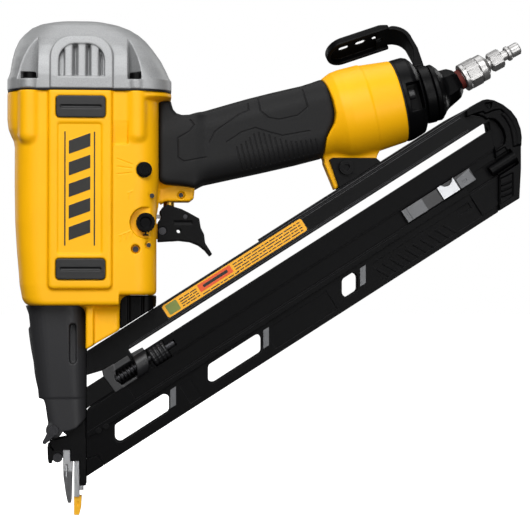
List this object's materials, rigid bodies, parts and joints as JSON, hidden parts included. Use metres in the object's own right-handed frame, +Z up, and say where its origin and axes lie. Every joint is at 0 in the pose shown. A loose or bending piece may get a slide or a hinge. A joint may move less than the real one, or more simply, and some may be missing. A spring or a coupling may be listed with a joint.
{
  "type": "pneumatic nail gun",
  "caption": "Angled pneumatic finish nailer with a yellow cast housing, grey top cap, rubber grip, slanted strip magazine, contact tip and air plug",
  "frame": {"origin": "middle of the bottom face of the soft contact tip", "axes": "+Z up the drive direction, +X towards the handle and magazine, Y across the tool's width"},
  "size_m": [0.3086, 0.0764, 0.296],
  "materials": {
    "yellow_paint": "satin powder coat on cast magnesium",
    "cast_metal": "fine sand-cast grain, uncoated",
    "grip_rubber": "moulded matt rubber",
    "seal_rubber": "plain black rubber",
    "black_metal": "black satin coating",
    "black_plastic": "glass-filled nylon, fine texture",
    "bright_steel": "plain bright steel",
    "plated_steel": "nickel-plated steel",
    "piston_metal": "turned",
    "brass": "turned",
    "thread_seal": "dry red thread sealant",
    "label": "printed film label, blank bars",
    "soft_tip": "yellow urethane",
    "grey_plastic": "moulded grey nylon"
  },
  "bodies": {
    "tool": {"housing": "yellow_paint", "cap_gasket": "seal_rubber", "top_cap": "cast_metal", "cap_screws": "black_metal", "exhaust_baffle": "black_plastic", "cylinder_sleeve": "bright_steel", "cylinder_seals": "seal_rubber", "driver_bumper": "grip_rubber", "side_pads": "grip_rubber", "side_badges": "black_plastic", "handle_grip": "grip_rubber", "end_cap_gasket": "seal_rubber", "end_cap": "black_metal", "end_cap_screws": "bright_steel", "inlet_boss": "black_metal", "thread_seal": "thread_seal", "housing_pins": "bright_steel", "blower_ring": "black_plastic", "trigger_pin": "bright_steel", "valve_body": "brass", "nose_shroud": "black_metal", "nose_screw": "bright_steel", "rear_guard": "black_metal", "nose_block": "black_metal", "nose_tip": "bright_steel", "latch_pin": "bright_steel", "magazine_rail": "black_plastic", "rail_label": "label", "side_plates": "black_plastic", "magazine_cover": "black_plastic", "window_tabs": "grey_plastic", "magazine_foot": "black_plastic", "magazine_end_cap": "black_plastic", "magazine_bracket": "black_metal", "bracket_bolt": "black_metal", "magazine_screws": "bright_steel", "adjuster_frame": "grey_plastic", "adjuster_rod": "bright_steel", "adjuster_spring": "bright_steel", "pusher_spring": "bright_steel"},
    "driver": {"piston": "piston_metal", "piston_ring": "seal_rubber", "driver_blade": "bright_steel"},
    "head_valve": {"head_valve": "black_plastic", "head_valve_spring": "bright_steel"},
    "trigger": {"trigger": "black_metal", "lever_pin": "bright_steel"},
    "trip_lever": {"trigger_lever": "bright_steel"},
    "valve_stem": {"valve_stem": "bright_steel"},
    "contact_trip": {"contact_arm": "bright_steel", "no_mar_tip": "soft_tip"},
    "depth_wheel": {"depth_wheel": "black_plastic"},
    "selector_knob": {"selector_knob": "black_plastic"},
    "blower_button": {"blower_button": "black_plastic"},
    "pusher": {"pusher": "grey_plastic"},
    "pusher_latch": {"pusher_latch": "bright_steel"},
    "belt_hook": {"belt_hook": "black_metal"},
    "air_plug": {"air_plug": "plated_steel"},
    "latch_lever": {"latch_lever": "black_metal"},
    "latch_bail": {"latch_bail": "bright_steel"}
  },
  "joints": [
    {"name": "piston_stroke", "type": "slide", "parent": "tool", "child": "driver", "axis": [0, 0, -1], "range_m": [0, 0.092]},
    {"name": "head_valve_lift", "type": "slide", "parent": "tool", "child": "head_valve", "axis": [0, 0, 1], "range_m": [0, 0.004], "stiffness_N_per_m": 1500, "deforming": ["head_valve_spring"]},
    {"name": "trigger_squeeze", "type": "hinge", "parent": "tool", "child": "trigger", "pos_m": [0.0505, 0, 0.168], "axis": [0, -1, 0], "range_deg": [0, 10], "stiffness_Nm_per_rad": 0.6, "springref_deg": -11.46},
    {"name": "trip_lever_swing", "type": "hinge", "parent": "trigger", "child": "trip_lever", "pos_m": [0.064, 0, 0.1766], "axis": [0, 1, 0], "range_deg": [0, 12]},
    {"name": "valve_stem_push", "type": "slide", "parent": "tool", "child": "valve_stem", "axis": [0, 0, 1], "range_m": [0, 0.0022]},
    {"name": "contact_trip_slide", "type": "slide", "parent": "tool", "child": "contact_trip", "axis": [0, 0, 1], "range_m": [0, 0.006], "stiffness_N_per_m": 1200, "springref_m": -0.008},
    {"name": "depth_wheel_turn", "type": "hinge", "parent": "tool", "child": "depth_wheel", "pos_m": [0.04829, -0.0088, 0.09598], "axis": [0.8434, 0, 0.5373], "continuous": true},
    {"name": "selector_turn", "type": "hinge", "parent": "tool", "child": "selector_knob", "pos_m": [0.0404, -0.033, 0.1719], "axis": [0, 1, 0], "range_deg": [0, 140]},
    {"name": "blower_press", "type": "slide", "parent": "tool", "child": "blower_button", "axis": [0, 1, 0], "range_m": [0, 0.003], "stiffness_N_per_m": 600, "springref_m": -0.004},
    {"name": "pusher_slide", "type": "slide", "parent": "tool", "child": "pusher", "axis": [-0.8434, 0, -0.5373], "range_m": [0, 0.185]},
    {"name": "pusher_latch_lift", "type": "hinge", "parent": "pusher", "child": "pusher_latch", "pos_m": [0.226, -0.01165, 0.19615], "axis": [-0.5373, 0, 0.8434], "range_deg": [0, 18]},
    {"name": "hook_swing", "type": "hinge", "parent": "tool", "child": "belt_hook", "pos_m": [0.20961, 0, 0.25121], "axis": [0.9703, 0, 0.2419], "range_deg": [-70, 130]},
    {"name": "plug_swivel", "type": "hinge", "parent": "tool", "child": "air_plug", "pos_m": [0.2306, 0, 0.2605], "axis": [0.8763, 0, 0.4818], "continuous": true},
    {"name": "latch_lever_open", "type": "hinge", "parent": "tool", "child": "latch_lever", "pos_m": [-0.011, 0, 0.0345], "axis": [0, -1, 0], "range_deg": [0, 60]},
    {"name": "latch_bail_open", "type": "hinge", "parent": "tool", "child": "latch_bail", "pos_m": [-0.0128, 0, 0.051], "axis": [0, 1, 0], "range_deg": [0, 60]}
  ],
  "couplings": [
    {"joint": "valve_stem_push", "follows": "trigger_squeeze", "m_per_rad": 0.011459}
  ]
}
